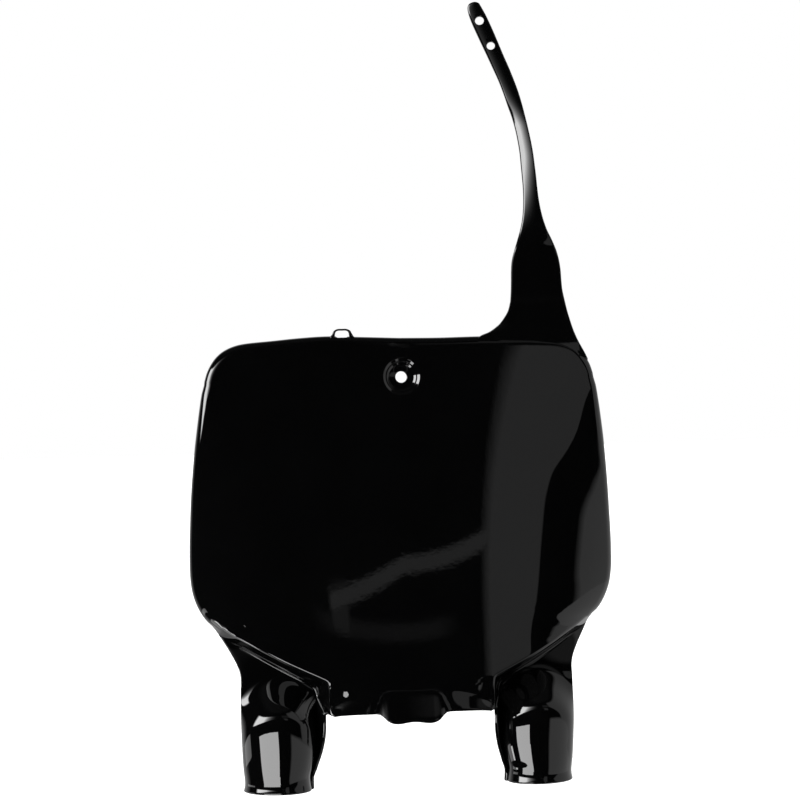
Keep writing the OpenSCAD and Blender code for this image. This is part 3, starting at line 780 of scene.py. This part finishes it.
def reflector(name, patches, power, rho=0.5):
    """upright curved card beside the legs: patches of azimuth from, to (degrees from the front) and height from, to"""
    verts, faces = [], []
    for a0, a1, z0, z1 in patches:
        n = max(2, int(abs(a1 - a0) / 3))
        for i in range(n + 1):
            a = radians(a0 + (a1 - a0) * i / n)
            k = len(verts)
            verts += [(rho * sin(a), -rho * cos(a), z0), (rho * sin(a), -rho * cos(a), z1)]
            if i:
                faces.append((k - 2, k, k + 1, k - 1))
    card_mesh = bpy.data.meshes.new(name)
    card_mesh.from_pydata(verts, [], faces)
    card = bpy.data.objects.new(name, card_mesh)
    bpy.context.scene.collection.objects.link(card)
    m = bpy.data.materials.new(name)
    m.use_nodes = True
    m.node_tree.nodes.clear()
    em = m.node_tree.nodes.new("ShaderNodeEmission")
    em.inputs["Strength"].default_value = power
    mo = m.node_tree.nodes.new("ShaderNodeOutputMaterial")
    m.node_tree.links.new(em.outputs[0], mo.inputs["Surface"])
    card_mesh.materials.append(m)
    card.visible_camera = False
    card.visible_diffuse = False
    card.visible_shadow = False


reflector("low_card", [(-17, -67, -0.445, -0.384), (-15, -67, -0.54, -0.445), (-97, -106, -0.54, -0.48)], 9.0)
reflector("low_card_dim", [(-95, -125, -0.388, -0.36), (-106, -130, -0.54, -0.46)], 1.7)

world = bpy.data.worlds.new("studio")
bpy.context.scene.world = world
world.use_nodes = True
wt = world.node_tree
wt.nodes.clear()


def node(kind, **kw):
    x = wt.nodes.new(kind)
    for k, v in kw.items():
        setattr(x, k, v)
    return x


def math_node(op, a, b=None, c=None, clamp=False):
    x = node("ShaderNodeMath", operation=op, use_clamp=clamp)
    for i, v in enumerate((a, b, c)):
        if v is None:
            continue
        if isinstance(v, (int, float)):
            x.inputs[i].default_value = v
        else:
            wt.links.new(v, x.inputs[i])
    return x.outputs[0]


tc = node("ShaderNodeTexCoord")
sep = node("ShaderNodeSeparateXYZ")
wt.links.new(tc.outputs["Generated"], sep.inputs[0])
X, Y, Z = sep.outputs[0], sep.outputs[1], sep.outputs[2]
# azimuth from the front (-Y), positive to the right (+X); elevation; in degrees
az = math_node("MULTIPLY", math_node("ARCTAN2", X, math_node("MULTIPLY", Y, -1.0)), 180 / pi)
el = math_node("MULTIPLY", math_node("ARCSINE", Z), 180 / pi)


def mul(*v):
    x = v[0]
    for w in v[1:]:
        x = math_node("MULTIPLY", x, w)
    return x


def above(v, lo, soft):
    """0 below lo - soft, 1 above lo; lo may be a plain number or a socket"""
    return math_node("DIVIDE", math_node("ADD", math_node("SUBTRACT", v, lo), soft), soft, clamp=True)


def below(v, hi, soft):
    return math_node("DIVIDE", math_node("ADD", math_node("SUBTRACT", hi, v), soft), soft, clamp=True)


def band(v, lo, hi, soft):
    """1 between lo and hi, falling to 0 over soft degrees outside"""
    return mul(above(v, lo, soft), below(v, hi, soft))


def slope(v, k, c):
    return math_node("MULTIPLY_ADD", v, k, c)


cards = []
# tall soft box, upper left, fading towards the middle
fade = math_node("POWER", math_node("DIVIDE", math_node("SUBTRACT", 2.0, az), 56.0, clamp=True), 4.5)
cards.append(mul(fade, above(az, -84, 6), above(el, slope(az, 0.13, 12.0), 2.0), below(el, 33, 3.0), 19.0))
# light from the ground on the left, for the folds over the legs
cards.append(mul(band(az, -178, -100, 8), band(el, -78, -42, 4), 2.0))
cards.append(mul(band(az, -176, -146, 5), band(el, -42, -26, 3), 0.5))
# large dim wall on the right; its inner edge leans
wall_edge = math_node("MAXIMUM", slope(el, -0.9, 58.0), 38.0)
cards.append(mul(above(az, wall_edge, 5.0), below(az, 150, 6), band(el, -60, 46, 6), 0.75))
cards.append(mul(band(az, 34, 120, 6.0), band(el, -40, -13.5, 1.2), 0.95))
cards.append(mul(band(az, 22, 46, 4.0), band(el, -58, -51, 2.0), 1.6))
# narrow card that the flat of the board mirrors
cards.append(mul(above(az, slope(el, -0.32, 15.86), 0.8), below(az, 25.5, 1.2), band(el, -2, 10.4, 1.0), 0.5))
# faint edge of a tray
top = math_node("MINIMUM", slope(az, 0.17, 6.0), 7.15)
tray = mul(band(az, 0.6, 13.4, 0.4), below(el, top, 0.15), above(el, math_node("SUBTRACT", top, 0.25), 0.15), 0.4)
side = mul(band(az, 0.6, 1.7, 0.4), below(el, top, 0.3), above(el, 5.45, 0.25), 0.2)
foot = mul(band(az, 0.6, 9.5, 2.0), band(el, 5.4, 5.6, 0.2), 0.10)
cards += [tray, side, foot]
# ceiling
cards.append(mul(above(el, 62, 10), 0.05))
cards.append(mul(band(az, 12, 150, 5), band(el, 22, 34, 5), 0.22))
# the far side of the studio is pale all round
cards.append(mul(math_node("MULTIPLY", math_node("SUBTRACT", Y, 0.45), 3.0, clamp=True), 0.9))
light = cards[0]
for c in cards[1:]:
    light = math_node("MAXIMUM", light, c)
bg = node("ShaderNodeBackground")
wt.links.new(light, bg.inputs["Strength"])
white = node("ShaderNodeBackground")
white.inputs["Strength"].default_value = 1.0
white.inputs["Color"].default_value = (1, 1, 1, 1)
path = node("ShaderNodeLightPath")
mix = node("ShaderNodeMixShader")
wt.links.new(path.outputs["Is Camera Ray"], mix.inputs[0])
wt.links.new(bg.outputs[0], mix.inputs[1])
wt.links.new(white.outputs[0], mix.inputs[2])
wo = node("ShaderNodeOutputWorld")
wt.links.new(mix.outputs[0], wo.inputs[0])

view = bpy.context.scene.view_settings
view.view_transform = "Standard"
view.look = "None"
view.exposure = 0.0
view.gamma = 1.0

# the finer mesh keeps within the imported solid's box
for v in board.data.vertices:
    for k in range(3):
        v.co[k] = min(max(v.co[k], cad_box[0][k] + 1e-6), cad_box[1][k] - 1e-6)
